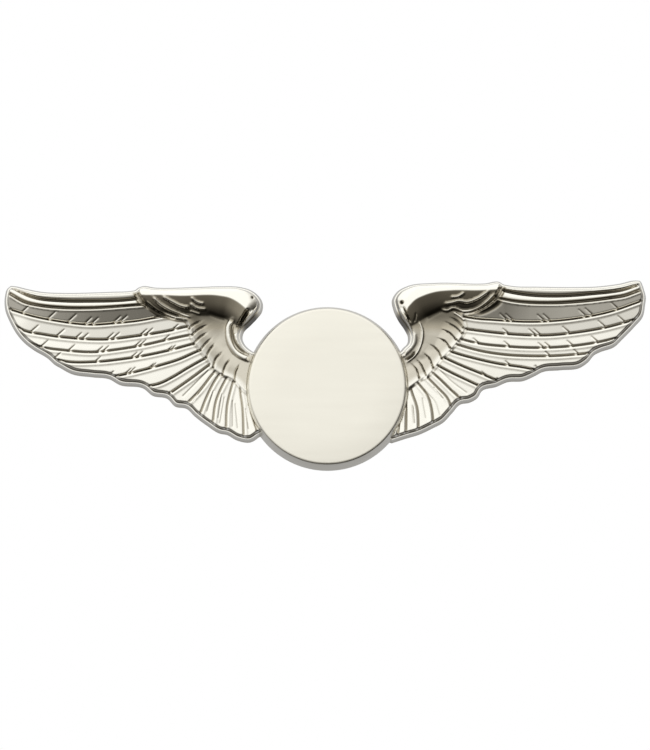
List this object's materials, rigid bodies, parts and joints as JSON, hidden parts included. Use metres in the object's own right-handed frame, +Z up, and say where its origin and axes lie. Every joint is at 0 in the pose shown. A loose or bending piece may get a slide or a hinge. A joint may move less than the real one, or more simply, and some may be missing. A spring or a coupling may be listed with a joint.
{
  "type": "pilot wings pin",
  "caption": "Struck metal wings badge with a plain centre disc, worn on cloth by pointed posts with butterfly clutches.",
  "frame": {"origin": "centre of the flat back plane, on the axis of the centre disc, where the badge meets the cloth", "axes": "+Z up as worn, the face looks along -Y, the cloth and the clutches are on the +Y side, +X to the right for someone who looks at the face"},
  "size_m": [0.076, 0.0115, 0.0225],
  "materials": {
    "wings_metal": "polished, warm silver plate on struck relief",
    "disc_metal": "very fine brushed satin plate",
    "clutch_metal": "nickel plated stampings",
    "post_metal": "drawn wire, turned point",
    "spring_wire": "drawn bronze wire"
  },
  "bodies": {
    "badge": {"wings_body": "wings_metal", "center_disc": "disc_metal", "post_base_left": "clutch_metal", "post_base_right": "clutch_metal", "post_pin_left": "post_metal", "post_pin_right": "post_metal"},
    "clutch_left": {"clutch_cup_left": "clutch_metal", "clutch_cover_left": "clutch_metal", "clutch_spring_left": "spring_wire"},
    "clutch_right": {"clutch_cup_right": "clutch_metal", "clutch_cover_right": "clutch_metal", "clutch_spring_right": "spring_wire"},
    "jaw_outer_left": {"clutch_jaw_outer_left": "clutch_metal"},
    "jaw_inner_left": {"clutch_jaw_inner_left": "clutch_metal"},
    "jaw_outer_right": {"clutch_jaw_outer_right": "clutch_metal"},
    "jaw_inner_right": {"clutch_jaw_inner_right": "clutch_metal"}
  },
  "joints": [
    {"name": "clutch_left_slide", "type": "slide", "parent": "badge", "child": "clutch_left", "axis": [0, 1, 0], "range_m": [-0.0006, 0.008]},
    {"name": "clutch_right_slide", "type": "slide", "parent": "badge", "child": "clutch_right", "axis": [0, 1, 0], "range_m": [-0.0006, 0.008]},
    {"name": "jaw_outer_left_squeeze", "type": "slide", "parent": "clutch_left", "child": "jaw_outer_left", "axis": [1, 0, 0], "range_m": [0, 0.0008], "stiffness_N_per_m": 300, "springref_m": -0.001, "deforming": ["clutch_spring_left"]},
    {"name": "jaw_inner_left_squeeze", "type": "slide", "parent": "clutch_left", "child": "jaw_inner_left", "axis": [-1, 0, 0], "range_m": [0, 0.0008]},
    {"name": "jaw_outer_right_squeeze", "type": "slide", "parent": "clutch_right", "child": "jaw_outer_right", "axis": [-1, 0, 0], "range_m": [0, 0.0008], "stiffness_N_per_m": 300, "springref_m": -0.001, "deforming": ["clutch_spring_right"]},
    {"name": "jaw_inner_right_squeeze", "type": "slide", "parent": "clutch_right", "child": "jaw_inner_right", "axis": [1, 0, 0], "range_m": [0, 0.0008]}
  ],
  "couplings": [
    {"joint": "jaw_inner_left_squeeze", "follows": "jaw_outer_left_squeeze", "ratio": 1},
    {"joint": "jaw_inner_right_squeeze", "follows": "jaw_outer_right_squeeze", "ratio": 1}
  ]
}
